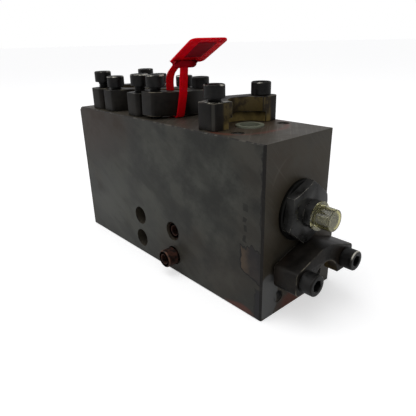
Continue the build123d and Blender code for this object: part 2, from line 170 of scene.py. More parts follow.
# block: dark oily machined steel, brown in places, with stains and worn edges; its front face also carries a painted
# sheen at the lower left and a painted dark reflection at the top left
blockLook = {
    "dark": colour(24, 24, 20),
    "grey": colour(70, 71, 65),
    "brown": colour(44, 33, 24),
    "stain": colour(72, 59, 46),
    "stainDark": colour(27, 26, 29),
    "outline": colour(8, 6, 5),
    "run": colour(20, 20, 15),
    "red": colour(92, 48, 36),
    "footprint": colour(60, 48, 34),
    "sideTone": colour(60, 54, 44),
    "topTone": colour(64, 58, 49),
    "bluish": colour(96, 98, 99),
    "olive": colour(44, 37, 24),
    "worn": colour(104, 98, 88),
    "roughness": 0.46,
    "metallic": 0.16,
    "specular": 0.28,
    "cornerX": 0.128,  # the near upright edge
    "stainLeft": 0.1078,
    "stainLow": (0.0384, 0.42),  # height at its left end, and how fast it falls to the right
    "stainTop": 0.055,
    "footLeft": 0.1222,
    "footTop": 0.0255,
    "streakX": 0.1112,
    "streakRange": (0.053, 0.108),
    "plugCentre": (0.128, -0.0045, 0.0795),
}


def blockPaint():
    look = blockLook
    material, paint = newPaint("blockSteel")
    at = paint.place()
    x, y, z = paint.parts(at)
    normalX, normalY, normalZ = paint.parts(paint.facing())
    front = (0 - normalY).rise(0.5, 0.9)
    top = normalZ.rise(0.5, 0.9)
    right = normalX.rise(0.5, 0.9)
    clouds = paint.noise(at, 30, 8, 0.65).rise(0.36, 0.66)
    smears = paint.noise(paint.turned(at, (0, 25, 0), (22, 60, 60)), 1.0, 5).rise(0.42, 0.66)
    grain = paint.noise(at, 900, 3)
    brushed = paint.noise(paint.turned(at, (0, 32, 0), (40, 40, 1100)), 1.0, 3)
    sideBrushed = paint.noise(paint.turned(at, (38, 0, 0), (60, 1200, 60)), 1.0, 3)
    topBrushed = paint.noise(paint.turned(at, (0, 0, 25), (60, 900, 60)), 1.0, 3)
    lines = brushed * front + sideBrushed * right + topBrushed * top
    tone = paint.blend(clouds * 0.75 + 0.1, look["dark"], look["grey"])
    # painted sheen: the lower left of the front face is lightened towards grey, standing in for a reflection
    paintedSheenLowLeft = paint.spot(paint.shaken(at, 18, 0.04), (-0.07, -0.044, 0.04), (0.11, 0.05, 0.06), 0.9) * front
    tone = paint.blend(paintedSheenLowLeft * 0.6, tone, look["grey"])
    tone = paint.blend(smears * front * 0.55, tone, look["dark"])
    tone = paint.blend(right * (0.55 + 0.4 * clouds), tone, look["sideTone"])
    tone = paint.blend(top * (0.6 + 0.35 * clouds), tone, look["topTone"])
    # painted reflection: a dark brown patch at the top left of the front face; the noise-driven brown patches mixed in
    # with it are real discoloration
    paintedReflectionHighLeft = paint.spot(paint.shaken(at, 20, 0.03), (-0.1, -0.044, 0.12), (0.09, 0.05, 0.05), 0.9) * front
    brownPatchesAndReflection = (paint.noise(at, 15, 5).rise(0.46, 0.68) * 0.4 + paintedReflectionHighLeft * 0.9) * (front + right * 0.8 + top * 0.5)
    tone = paint.blend(brownPatchesAndReflection, tone, look["brown"])
    halo = paint.spot(paint.shaken(at, 30, 0.02), look["plugCentre"], (0.02, 0.037, 0.04), 0.5) * right
    tone = paint.blend(halo * 0.6, tone, look["olive"])
    lowPatch = paint.spot(paint.shaken(at, 60, 0.006), (0.128, -0.036, 0.018), (0.01, 0.012, 0.021), 0.12) * right
    tone = paint.blend(lowPatch * 0.6, tone, look["bluish"])
    highRim = paint.spot(at, (0.128, -0.008, 0.092), (0.01, 0.031, 0.034), 0.05)
    highInner = paint.spot(at, (0.128, -0.008, 0.092), (0.01, 0.0295, 0.0325), 0.05)
    rim = (highRim - highInner) * right * (0 - y).rise(0.012, 0.03) * z.rise(0.098, 0.11)
    tone = paint.blend(rim * 0.15, tone, look["worn"])
    lowRed = paint.spot(paint.shaken(at, 70, 0.01), (0.128, 0.002, 0.004), (0.01, 0.03, 0.011), 0.5) * right
    tone = paint.blend(lowRed * 0.8, tone, look["red"])
    # stain in the corner: brown to nearly black, dark rims, and a second one down at the foot
    wobbly = paint.shaken(at, 90, 0.01)
    wobblyX, wobblyY, wobblyZ = paint.parts(wobbly)
    ragged = wobblyZ + 0.024 * (paint.noise(paint.vector("MULTIPLY", at, (150, 150, 30)), 1.0, 2) - 0.5)
    height, fall = look["stainLow"]
    left = wobblyX - look["stainLeft"]
    low = wobblyZ + fall * left - height

    def stainArea(grown):
        area = left.rise(-grown, 0.0005 - grown) * low.rise(-grown, 0.0005 - grown) * front
        return area * (1 - ragged.rise(look["stainTop"] + grown, look["stainTop"] + grown + 0.0005))
    inside = stainArea(0.0)
    tone = paint.blend(stainArea(0.0013) - inside, tone, look["outline"])
    stainTone = paint.blend(left.rise(0.002, 0.009) * 0.7 + 0.3 * clouds, look["stain"], look["stainDark"])
    tone = paint.blend(inside * 0.9, tone, stainTone)
    footLeft, footTop = look["footLeft"], look["footTop"]
    foot = wobblyX.rise(footLeft, footLeft + 0.0005) * (1 - wobblyZ.rise(footTop, footTop + 0.0005)) * front
    footRim = wobblyX.rise(footLeft - 0.0008, footLeft) * (1 - wobblyZ.rise(footTop, footTop + 0.001)) * front
    tone = paint.blend(footRim * 0.8, tone, look["outline"])
    tone = paint.blend(foot * 0.85, tone, look["stainDark"])
    lowBrown = paint.spot(paint.shaken(at, 70, 0.01), (0.106, -0.044, 0.002), (0.018, 0.02, 0.005), 0.5) * front
    tone = paint.blend(lowBrown * 0.6, tone, look["red"])
    # dark runs beside the upright edge
    low, high = look["streakRange"]
    run = 1 - abs(wobblyX - look["streakX"]).rise(0.0012, 0.0021)
    dashes = paint.noise(paint.vector("MULTIPLY", at, (20, 20, 210)), 1.0, 2).rise(0.44, 0.52)
    streak = run * dashes * z.rise(low, low + 0.004) * (1 - z.rise(high - 0.03, high)) * front
    tone = paint.blend(streak * 0.85, tone, look["run"])
    edgeRun = 1 - abs(wobblyX - 0.1262).rise(0.0006, 0.0015)
    tone = paint.blend(edgeRun * z.rise(0.03, 0.1) * front * 0.9, tone, look["outline"])
    redAt = paint.shaken(at, 70, 0.012)
    stained = paint.spot(redAt, (0.078, -0.0045, 0.134), (0.0295, 0.04, 0.02), 0.12)
    footprint = paint.spot(redAt, (0.078, -0.0045, 0.134), (0.026, 0.037, 0.02), 0.2)
    tone = paint.blend(footprint * top * 0.8, tone, look["footprint"])
    tone = paint.blend((stained - footprint) * top * (0.4 + 0.8 * clouds), tone, look["red"])
    # chamfer faces along the outer edges made darker, worn in patches, and scratches
    slanted = 1 - abs(normalX).orMore(abs(normalY)).orMore(abs(normalZ)).rise(0.93, 0.99)
    upright = abs(x - look["cornerX"]).rise(0.0016, 0.0022)
    outside = abs(x).rise(0.124, 0.126).orMore(z.rise(0.1325, 0.1335)).orMore((0 - y).rise(0.0425, 0.0432))
    tone = paint.blend(slanted * outside * 0.8, tone, look["outline"])
    worn = slanted * outside * upright * paint.noise(at, 240, 4).rise(0.5, 0.6)
    tone = paint.blend(worn * 0.35, tone, look["worn"])
    scored = (paint.noise(paint.turned(at, (0, 0, 38), (900, 25, 25)), 1.0, 2).rise(0.5, 0.75) * top
              + paint.noise(paint.turned(at, (-48, 0, 0), (25, 25, 800)), 1.0, 2).rise(0.55, 0.8) * right * 0.35)
    tone = paint.blend(scored * 0.45, tone, look["worn"])
    roughness = look["roughness"] + 0.14 * (clouds - 0.5) + 0.14 * (lines - 0.5) - 0.1 * worn + 0.1 * inside
    paint.surface({
        "Base Color": tone,
        "Metallic": look["metallic"],
        "Roughness": roughness,
        "Specular IOR Level": look["specular"],
        "Normal": paint.bump(grain * 0.5 + lines * 0.5, 0.05 * mm),
    })
    return material


# half flanges: forged steel, olive brown where the hose end sat
flangeLook = {
    "dark": colour(13, 11, 9),
    "grey": colour(37, 34, 30),
    "brown": colour(32, 24, 18),
    "olive": colour(122, 106, 62),
    "deep": colour(28, 20, 13),
    "worn": colour(226, 222, 208),
    "roughness": 0.46,
    "metallic": 0.06,
    "specular": 0.14,
    "innerRadius": 21.4 * mm,
    "oliveReach": 24.5 * mm,
    "recessTop": 8.3 * mm,
}


def flangePaint(name, centre, out, split, chipped):  # out: the port's axis, split: towards the other half
    look = flangeLook
    material, paint = newPaint(name)
    at = paint.place()
    facing = paint.facing()
    across = [1 - abs(part) for part in out]
    fromPort = paint.vector("SUBTRACT", at, centre)
    reach = paint.node("ShaderNodeVectorMath", {"operation": "LENGTH"}, {
        0: paint.vector("MULTIPLY", fromPort, across)}, "Value")
    height = paint.node("ShaderNodeVectorMath", {"operation": "DOT_PRODUCT"}, {0: fromPort, 1: out}, "Value")
    along = abs(paint.node("ShaderNodeVectorMath", {"operation": "DOT_PRODUCT"}, {0: facing, 1: out}, "Value"))
    toSplit = paint.node("ShaderNodeVectorMath", {"operation": "DOT_PRODUCT"}, {0: facing, 1: split}, "Value")
    wall = (1 - reach.rise(look["innerRadius"], look["innerRadius"] + 0.3 * mm)) * (1 - along.rise(0.4, 0.6))
    inner = wall.orMore(toSplit.rise(0.85, 0.95) * (1 - reach.rise(look["oliveReach"], look["oliveReach"] + 3 * mm)))
    clouds = paint.noise(at, 60, 6).rise(0.35, 0.68)
    blotches = paint.noise(at, 140, 5).rise(0.4, 0.62)
    tone = paint.blend(clouds * 0.8, look["dark"], look["grey"])
    tone = paint.blend(paint.noise(at, 35, 4).rise(0.5, 0.7) * 0.6, tone, look["brown"])
    darkened = blotches * 0.3 + height.rise(look["recessTop"], 15 * mm) * 0.65
    innerTone = paint.blend(darkened, look["olive"], look["deep"])
    tone = paint.blend(inner * 0.92, tone, innerTone)
    grain = paint.noise(at, 700, 4)
    topWear = along.rise(0.8, 0.95) * paint.noise(at, 330, 4).rise(0.47, 0.6) * (1 - inner)
    if chipped:
        topWear = topWear * paint.spot(at, chipped, (14 * mm, 14 * mm, 14 * mm), 0.4)
        tone = paint.blend(topWear * 0.9, tone, look["worn"])
        # painted highlight: a faint light stripe, in the worn colour, on the outer rounded corners that face one way
        slant = paint.node("ShaderNodeVectorMath", {"operation": "DOT_PRODUCT"}, {0: facing, 1: (0.6, -0.8, 0)}, "Value")
        corner = slant.rise(0.93, 0.985) * reach.rise(29 * mm, 30 * mm)
        tone = paint.blend(corner * 0.035, tone, look["worn"])
    paint.surface({
        "Base Color": tone,
        "Metallic": look["metallic"],
        "Roughness": look["roughness"] + 0.16 * (clouds - 0.5) - 0.08 * topWear,
        "Specular IOR Level": look["specular"],
        "Normal": paint.bump(grain, 0.08 * mm),
    })
    return material


# plain finishes with a little variation: colour, second colour, metallic, roughness, pattern scale
finishes = {
    "screwBlack": {"tones": (colour(8, 8, 8), colour(24, 23, 22)), "metallic": 0.08, "roughness": 0.4,
                   "scale": 180},
    "screwRim": {"tones": (colour(26, 25, 23), colour(190, 187, 176)), "metallic": 0.4, "roughness": 0.36,
                 "scale": 90, "range": (0.5, 0.64)},
    "screwRusty": {"tones": (colour(22, 14, 11), colour(60, 34, 25)), "metallic": 0.1, "roughness": 0.6, "scale": 260},
    "screwRustyRim": {"tones": (colour(40, 28, 22), colour(92, 64, 50)), "metallic": 0.2, "roughness": 0.5,
                      "scale": 260},
    "plugBlack": {"tones": (colour(26, 26, 25), colour(50, 50, 49)), "metallic": 0.12, "roughness": 0.34, "scale": 90},
    "collarBlack": {"tones": (colour(5, 5, 4), colour(14, 14, 12)), "metallic": 0.0, "roughness": 0.4, "scale": 90,
                    "specular": 0.1},
    "wornEdge": {"tones": (colour(20, 18, 16), colour(112, 106, 92)), "metallic": 0.3, "roughness": 0.4,
                 "scale": 90, "range": (0.42, 0.66)},
    "brightEdge": {"tones": (colour(52, 51, 46), colour(206, 202, 188)), "metallic": 0.3, "roughness": 0.4,
                   "scale": 70, "range": (0.42, 0.62)},
    "spoolSteel": {"tones": (colour(176, 176, 174), colour(200, 200, 198)), "metallic": 1.0, "roughness": 0.2,
                   "scale": 120},
    "springSteel": {"tones": (colour(96, 94, 90), colour(130, 128, 122)), "metallic": 0.9, "roughness": 0.35,
                    "scale": 300},
    "sealRubber": {"tones": (colour(18, 18, 18), colour(32, 32, 31)), "metallic": 0.0, "roughness": 0.55,
                   "scale": 400},
}


def plainPaint(name):
    look = finishes[name]
    material, paint = newPaint(name)
    at = paint.place()
    clouds = paint.noise(at, look["scale"], 5).rise(*look.get("range", (0.36, 0.66)))
    paint.surface({
        "Base Color": paint.blend(clouds, *look["tones"]),
        "Metallic": look["metallic"],
        "Roughness": look["roughness"] + 0.16 * (clouds - 0.5),
        "Specular IOR Level": look.get("specular", 0.2),
        "Normal": paint.bump(paint.noise(at, look["scale"] * 5, 3), 0.04 * mm),
    })
    return material


# moulded plastics
plastics = {
    "capPlastic": {"tone": colour(222, 219, 182), "deep": colour(206, 202, 160), "see": 0.95, "roughness": 0.06},
    "plugPlastic": {"tone": colour(150, 154, 136), "deep": colour(116, 120, 102), "see": 0.4, "roughness": 0.36},
    "tagPlastic": {"tone": colour(206, 0, 22), "deep": colour(186, 0, 18), "see": 0.0, "roughness": 0.6,
                   "specular": 0.06, "glow": 0.5},
    "tagPanel": {"tone": colour(140, 14, 26), "deep": colour(122, 10, 22), "see": 0.0, "roughness": 0.7,
                 "specular": 0.06, "glow": 0.3},
    # painted shade: the lock's red is darker than the strap's and flag's, standing in for the shade it lies in
    "tagLockPaintedShade": {"tone": colour(150, 0, 18), "deep": colour(132, 0, 14), "see": 0.0, "roughness": 0.6,
                 "specular": 0.06},
}


def plasticPaint(name):
    look = plastics[name]
    material, paint = newPaint(name)
    at = paint.place()
    clouds = paint.noise(at, 60, 3).rise(0.3, 0.7)
    paint.surface({
        "Base Color": paint.blend(clouds, look["tone"], look["deep"]),
        "Roughness": look["roughness"] + 0.08 * (clouds - 0.5),
        "Transmission Weight": look["see"],
        "Subsurface Weight": look.get("glow", 0.0),
        "Subsurface Radius": (1.0, 0.1, 0.05),
        "Subsurface Scale": 4 * mm,
        "Specular IOR Level": look.get("specular", 0.5),
        "Normal": paint.bump(paint.noise(at, 500, 3), 0.03 * mm),
    })
    return material


materials = {"block_steel": blockPaint()}
for slotName, finish in [
    ("screw_black", "screwBlack"), ("screw_rusty", "screwRusty"), ("plug_black", "plugBlack"),
    ("spool_steel", "spoolSteel"), ("spring_steel", "springSteel"), ("seal_rubber", "sealRubber"),
    ("screw_rim", "screwRim"), ("screw_rusty_rim", "screwRustyRim"), ("worn_edge", "wornEdge"),
    ("bright_edge", "brightEdge"), ("collar_black", "collarBlack"),
]:
    materials[slotName] = plainPaint(finish)
for slotName, finish in [
    ("cap_plastic", "capPlastic"), ("plug_plastic", "plugPlastic"), ("tag_plastic", "tagPlastic"),
    ("tag_panel", "tagPanel"), ("tag_shade", "tagLockPaintedShade"),
]:
    materials[slotName] = plasticPaint(finish)


def portCentre(node):  # the middle of a shipping plug lies on its port's axis
    low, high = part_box(node)
    return (low + high) / 2


halfFlanges = {  # port, axis of the port, direction towards the split
    "flange_a_left": ("a", (0, 0, 1), (1, 0, 0)),
    "flange_a_right": ("a", (0, 0, 1), (-1, 0, 0)),
    "flange_b_left": ("b", (0, 0, 1), (1, 0, 0)),
    "flange_b_right": ("b", (0, 0, 1), (-1, 0, 0)),
    "flange_c_left": ("c", (0, 0, 1), (1, 0, 0)),
    "flange_d_upper": ("d", (1, 0, 0), (0, 0, -1)),
}
chippedAt = {"flange_c_left": (0.070, -0.034, 0.154)}
bodyOf = {}
for bodyName, nodeNames in frame["record"]["behaviour"]["bodies"].items():
    for nodeName in nodeNames:
        bodyOf[nodeName] = bodyName

# the record says which slot each CAD node has
for part in frame["record"]["subparts"]:
    node = frame["nodes"][part["node"]]
    slotName = part["material_slot"]
    node.data.materials.clear()
    if part["node"] in halfFlanges:
        port, out, split = halfFlanges[part["node"]]
        centre = portCentre("port_plug_" + port)
        chipped = chippedAt.get(part["node"])
        node.data.materials.append(flangePaint(part["node"] + "Steel", centre, out, split, chipped))
    else:
        node.data.materials.append(materials[slotName])
print("materials on", len(frame["nodes"]), "nodes")


# modelling helpers

def alone(piece):  # the only selected object, and the active one
    bpy.ops.object.select_all(action="DESELECT")
    piece.select_set(True)
    bpy.context.view_layer.objects.active = piece


def addModifier(piece, kind, **settings):
    alone(piece)
    modifier = piece.modifiers.new(kind.title(), kind)
    for name, value in settings.items():
        setattr(modifier, name, value)
    bpy.ops.object.modifier_apply(modifier=modifier.name)


def smooth(piece, degrees=32):
    alone(piece)
    bpy.ops.object.shade_smooth_by_angle(angle=radians(degrees))


def clean(piece):  # doubles merged, faces outwards
    alone(piece)
    bpy.ops.object.mode_set(mode="EDIT")
    bpy.ops.mesh.select_all(action="SELECT")
    bpy.ops.mesh.remove_doubles(threshold=0.001 * mm)
    bpy.ops.mesh.normals_make_consistent(inside=False)
    bpy.ops.object.mode_set(mode="OBJECT")


def drawLine(name, points):  # a chain of edges through the points, drawn by extruding one vertex
    bpy.ops.object.select_all(action="DESELECT")
    bpy.ops.mesh.primitive_plane_add(size=mm, location=(0, 0, 0))
    piece = bpy.context.object
    piece.name = name
    piece.data.name = name
    bpy.ops.object.mode_set(mode="EDIT")
    bpy.ops.mesh.select_all(action="SELECT")
    bpy.ops.mesh.merge(type="CENTER")
    bpy.ops.transform.translate(value=points[0])
    for before, after in zip(points, points[1:]):
        step = [b - a for a, b in zip(before, after)]
        bpy.ops.mesh.extrude_vertices_move(TRANSFORM_OT_translate={"value": step})
    bpy.ops.object.mode_set(mode="OBJECT")
    return piece


def lathe(name, outline, steps=64):  # outline: radius and height in millimetres, spun round z
    piece = drawLine(name, [(r * mm, 0, h * mm) for r, h in outline])
    bpy.ops.object.mode_set(mode="EDIT")
    bpy.ops.mesh.select_all(action="SELECT")
    bpy.ops.mesh.spin(steps=steps, angle=2 * pi, center=(0, 0, 0), axis=(0, 0, 1))
    bpy.ops.object.mode_set(mode="OBJECT")
    clean(piece)
    return piece


def trim(piece, height, upper):  # cut square to z at a height, and close the cut
    alone(piece)
    bpy.ops.object.mode_set(mode="EDIT")
    bpy.ops.mesh.select_all(action="SELECT")
    bpy.ops.mesh.bisect(plane_co=(0, 0, height * mm), plane_no=(0, 0, 1), use_fill=True,
                        clear_outer=upper, clear_inner=not upper)
    bpy.ops.object.mode_set(mode="OBJECT")


def thread(name, outline, pitch, low, high, steps=24):  # outline: one turn's radius and height in millimetres
    piece = drawLine(name, [(r * mm, 0, (h + low - pitch) * mm) for r, h in outline])
    if outline[0] == outline[-1]:
        clean(piece)
    turns = int((high - low) / pitch) + 3
    addModifier(piece, "SCREW", angle=2 * pi, screw_offset=pitch * mm, iterations=turns, steps=steps,
                render_steps=steps, axis="Z", use_merge_vertices=True, merge_threshold=0.001 * mm)
    clean(piece)
    trim(piece, low, False)
    trim(piece, high, True)
    clean(piece)
    return piece


def join(name, pieces):
    bpy.ops.object.select_all(action="DESELECT")
    for piece in pieces:
        piece.select_set(True)
    bpy.context.view_layer.objects.active = pieces[0]
    bpy.ops.object.join()
    pieces[0].name = name
    pieces[0].data.name = name
    return pieces[0]


def copyOf(piece, name):
    twin = bpy.data.objects.new(name, piece.data.copy())
    bpy.context.scene.collection.objects.link(twin)
    return twin


def standFor(piece, nodeName):  # the piece takes the place of a CAD node
    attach(piece, bodyOf[nodeName])
    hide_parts(nodeName)


# hard steel pieces get narrow worn edges
edgeWidths = {"pilot_end_plug": 0.4 * mm, "spring_end_plug": 0.4 * mm}
collarEnd = 131.4 * mm


def wearEdges(nodeName, width):
    piece = copyOf(frame["nodes"][nodeName], nodeName + "_worn")
    clean(piece)
    bpy.ops.object.mode_set(mode="EDIT")
    bpy.ops.mesh.select_all(action="SELECT")
    bpy.ops.mesh.dissolve_limited(angle_limit=radians(0.5))
    bpy.ops.object.mode_set(mode="OBJECT")
    piece.data.materials.append(materials["bright_edge"])
    piece.data.materials.append(materials["collar_black"])
    addModifier(piece, "BEVEL", width=width, segments=2, limit_method="ANGLE", angle_limit=radians(28), material=1)
    for face in piece.data.polygons:
        if abs(face.center.x) < collarEnd:
            face.material_index = 2
    smooth(piece)
    standFor(piece, nodeName)


for nodeName, width in edgeWidths.items():
    wearEdges(nodeName, width)
print("worn edges on", len(edgeWidths), "pieces")


# half flanges: one shape, copied to six places; millimetres, x towards the crown, y along, z out
flange = {
    "length": 71.0,
    "thickness": 20.0,
    "crown": 30.0,
    "endWidth": 20.9,
    "corner": 3.5,
    "splitCorner": 4.5,
    "gap": 3.4,
    "neck": 17.0,
    "head": 20.6,
    "headDepth": 8.2,
    "hole": 5.5,
    "spacing": (23.8, 50.8),
    "edge": 0.7,
    "leanTilt": 2.1,
    "leanPlay": 0.1,
    "looseLift": 3.0,
}


def arc(centre, radius, start, end, steps):
    angles = [radians(start + (end - start) * step / steps) for step in range(steps + 1)]
    return [(centre[0] + radius * cos(angle), centre[1] + radius * sin(angle)) for angle in angles]


def flangeOutline():
    look = flange
    half = look["length"] / 2
    corner = Vector((look["endWidth"] - look["corner"], half - look["corner"]))
    lean = acos((look["crown"] - look["corner"]) / corner.length)
    tangent = degrees(atan2(corner.y, corner.x) - lean)  # where the straight side leaves the crown
    split = (look["gap"] / 2 + look["splitCorner"], half - look["splitCorner"])
    points = arc((0, 0), look["crown"], 0, tangent, 6)
    points += arc(corner, look["corner"], tangent, 90, 6)
    points += arc(split, look["splitCorner"], 90, 180, 6)
    return points + [(x, -y) for x, y in reversed(points[1:])]


def makeFlange():
    look = flange
    outline = flangeOutline()
    piece = drawLine("flangeMaster", [(x * mm, y * mm, 0) for x, y in outline])
    bpy.ops.object.mode_set(mode="EDIT")
    bpy.ops.mesh.select_all(action="SELECT")
    bpy.ops.mesh.edge_face_add()
    bpy.ops.mesh.extrude_region_move(TRANSFORM_OT_translate={"value": (0, 0, look["thickness"] * mm)})
    bpy.ops.object.mode_set(mode="OBJECT")
    clean(piece)
    spacingX, spacingY = look["spacing"]
    bores = [(0, 0, look["neck"], -1, look["thickness"] + 1, 96), (0, 0, look["head"], -1, look["headDepth"], 96),
             (spacingX / 2, spacingY / 2, look["hole"], -1, look["thickness"] + 1, 40),
             (spacingX / 2, -spacingY / 2, look["hole"], -1, look["thickness"] + 1, 40)]
    for x, y, radius, low, high, sides in bores:
        bore = lathe("bore", [(0, low), (radius, low), (radius, high), (0, high)], sides)
        bore.data.transform(Matrix.Translation((x * mm, y * mm, 0)))
        addModifier(piece, "BOOLEAN", operation="DIFFERENCE", object=bore, solver="EXACT")
        bpy.data.objects.remove(bore)
    clean(piece)
    piece.data.materials.clear()
    piece.data.materials.append(materials["block_steel"])
    piece.data.materials.append(materials["worn_edge"])
    addModifier(piece, "BEVEL", width=look["edge"] * mm, segments=3, limit_method="ANGLE", angle_limit=radians(50),
                material=1)
    smooth(piece, 30)
    return piece


def flangePlaces():
    look = flange
    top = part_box("valve_block")[1].z
    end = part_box("valve_block")[1].x
    places = {}
    for nodeName, (port, out, split) in halfFlanges.items():
        centre = portCentre("port_plug_" + port)
        if port == "d":
            axes = Matrix(((0, 0, 1), (0, -1, 0), (1, 0, 0)))
            origin = Vector((end + look["looseLift"] * mm, centre.y, centre.z))
        else:
            axes = Matrix.Rotation(0 if split[0] < 0 else pi, 3, "Z")
            origin = Vector((centre.x, centre.y, top))
        if nodeName == "flange_b_right":
            tilt = radians(look["leanTilt"])
            axes = Matrix.Rotation(-tilt, 3, "X")
            rise = look["leanPlay"] + look["length"] / 2 * sin(tilt)
            origin += Vector((0, -look["thickness"] * sin(tilt) / 2, rise)) * mm
        places[nodeName] = Matrix.Translation(origin) @ axes.to_4x4()
    return places


flangeMaster = makeFlange()
for nodeName, place in flangePlaces().items():
    piece = copyOf(flangeMaster, nodeName + "_forged")
    piece.data.transform(place)
    piece.data.materials[0] = frame["nodes"][nodeName].data.materials[0]
    standFor(piece, nodeName)
bpy.data.objects.remove(flangeMaster)
print("flanges made")


# socket head screws
screwLook = {
    "head": 8.0,  # radius
    "height": 9.95,
    "rim": 1.1,
    "socket": 4.62,  # corner radius
    "socketDepth": 5.0,
    "knurl": 0.985,
    "knurls": 72,
    "major": 4.95,
    "minor": 4.2,
    "pitch": 1.5,
    "chamfer": 0.9,
}


def threadOutline(major, minor, pitch):
    return [(minor, 0), (minor, 0.12 * pitch), (major, 0.44 * pitch), (major, 0.56 * pitch),
            (minor, 0.88 * pitch), (minor, pitch)]


def capScrew(name, length, threaded, body, rim):  # its head's outer face lies at z = 0, the shank below
    look = screwLook
    r, top, edge = look["head"], 0.0, look["rim"]
    outline = [(0, -look["height"]), (r - 0.4, -look["height"]), (r, -look["height"] + 0.4),
               (r, -look["height"] + 0.9), (r, -edge - 0.6), (r, -edge)]
    outline += [(r - edge + edge * sin(pi / 8 * (4 - i)), -edge + edge * cos(pi / 8 * (4 - i))) for i in (1, 2, 3)]
    outline += [(r - edge, top), (look["socket"] + 0.25, top), (look["socket"] - 0.3, top - 0.35), (0, top - 0.35)]
    head = lathe(name + "Head", outline, look["knurls"])
    alone(head)
    bpy.ops.object.mode_set(mode="EDIT")
    bpy.ops.mesh.select_mode(type="VERT")
    bpy.ops.mesh.select_all(action="DESELECT")
    bpy.ops.object.mode_set(mode="OBJECT")
    for vertex in head.data.vertices:
        x, y, z = vertex.co / mm
        side = -look["height"] + 0.6 < z < -edge - 0.3 and x * x + y * y > (r - 0.1) ** 2
        vertex.select = side and round(atan2(y, x) / (2 * pi) * look["knurls"]) % 2 == 1
    bpy.ops.object.mode_set(mode="EDIT")
    knurl = look["knurl"]
    bpy.ops.transform.resize(value=(knurl, knurl, 1), center_override=(0, 0, 0))
    bpy.ops.object.mode_set(mode="OBJECT")
    bpy.ops.object.select_all(action="DESELECT")
    bpy.ops.mesh.primitive_cylinder_add(vertices=6, radius=look["socket"] * mm, depth=2 * look["socketDepth"] * mm)
    socket = bpy.context.object
    addModifier(head, "BOOLEAN", operation="DIFFERENCE", object=socket, solver="EXACT")
    bpy.data.objects.remove(socket)
    under = -look["height"]
    end = under - length
    turned = end + threaded
    pieces = [head]
    rod = thread(name + "Thread", threadOutline(look["major"], look["minor"], look["pitch"]), look["pitch"],
                 end + look["chamfer"], turned)
    pieces.append(rod)
    tip = lathe(name + "Tip", [(0, end), (look["minor"] - 0.5, end), (look["minor"], end + look["chamfer"]),
                               (0, end + look["chamfer"])], 32)
    pieces.append(tip)
    shank = [(0, turned - 0.5), (look["minor"], turned - 0.5), (look["major"], turned), (look["major"], under + 0.5),
             (0, under + 0.5)]
    pieces.append(lathe(name + "Shank", shank, 32))
    piece = join(name, pieces)
    piece.data.materials.clear()
    piece.data.materials.append(materials[body])
    piece.data.materials.append(materials[rim])
    for face in piece.data.polygons:
        place = face.center / mm
        outer = Vector((place.x, place.y)).length > r - edge - 0.1 and place.z > -edge
        face.material_index = 1 if outer and abs(face.normal.z) < 0.98 else 0
    smooth(piece, 28)
    return piece


def headSeats(nodeName, axis, sign):  # centre of the outer face of each head in a node
    r = screwLook["head"] * mm
    low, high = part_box(nodeName)
    a, b = [i for i in range(3) if i != axis]
    seats = []
    for u in sorted({round(low[a] + r, 5), round(high[a] - r, 5)}):
        for v in sorted({round(low[b] + r, 5), round(high[b] - r, 5)}):
            near = [c.co for c in frame["nodes"][nodeName].data.vertices if abs(c.co[a] - u) < r and abs(c.co[b] - v) < r]
            seat = Vector((0, 0, 0))
            seat[a], seat[b], seat[axis] = u, v, sign * max(sign * c[axis] for c in near)
            seats.append(seat)
    return seats


def placeScrews(nodeName, master, axis, sign):
    out = Vector((0, 0, 0))
    out[axis] = sign
    stand = out.to_track_quat("Z", "X").to_matrix().to_4x4()
    copies = []
    for index, seat in enumerate(headSeats(nodeName, axis, sign)):
        twin = copyOf(master, nodeName + "_copy")
        twin.data.transform(Matrix.Translation(seat) @ stand @ Matrix.Rotation(0.7 + 1.9 * index, 4, "Z"))
        copies.append(twin)
    standFor(join(nodeName + "_detailed", copies), nodeName)


flangeScrew = capScrew("flangeScrew", 35.0, 34.0, "screw_black", "screw_rim")
mountingScrew = capScrew("mountingScrew", 90.0, 32.0, "screw_rusty", "screw_rusty_rim")
for nodeName in ("flange_a_screws", "flange_b_screws", "flange_c_screws"):
    placeScrews(nodeName, flangeScrew, 2, 1)
placeScrews("flange_d_screws", flangeScrew, 0, 1)
placeScrews("mounting_screw_upper", mountingScrew, 1, -1)
placeScrews("mounting_screw_lower", mountingScrew, 1, -1)
for master in (flangeScrew, mountingScrew):
    bpy.data.objects.remove(master)
print("screws made")


# threads in the bare tapped holes
tapped = {"wall": 5.1, "crest": 4.3, "pitch": 1.5, "depth": 22.0, "mouth": 0.6}


def tapHoles(mountName, axis):
    wall, crest, pitch = tapped["wall"], tapped["crest"], tapped["pitch"]
    outline = [(wall, 0), (crest, 0.4 * pitch), (crest, 0.6 * pitch), (wall, pitch), (wall, 0)]
    mount = [m for m in frame["record"]["mounts"] if m["name"] == mountName][0]
    half = mount["dims"][[d for d in mount["dims"] if d.startswith("spacing")][0]] / 2 * mm
    out = Vector(mount["axis"])
    stand = out.to_track_quat("Z", "X").to_matrix().to_4x4()
    for side, word in ((-1, "near"), (1, "far")):
        piece = thread(mountName + "_" + word, outline, pitch, -tapped["depth"], -tapped["mouth"])
        place = Vector(mount["pos_m"]) + Vector((0, side * half, 0))
        piece.data.transform(Matrix.Translation(place) @ stand)
        piece.data.materials.append(materials["block_steel"])
        smooth(piece, 28)
        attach(piece, "valve")


tapHoles("port_c_free_holes", 2)
tapHoles("port_d_free_holes", 0)
print("threads made")


# pilot adapter: the CAD hexagon and stud, with a real male thread and a bored end
adapter = {"major": 6.95, "minor": 6.05, "pitch": 1.5, "length": 11.0, "bore": 3.0, "mouth": 4.5, "mouthDepth": 3.0,
           "boreDepth": 15.0, "chamfer": 1.0, "edge": 0.3}


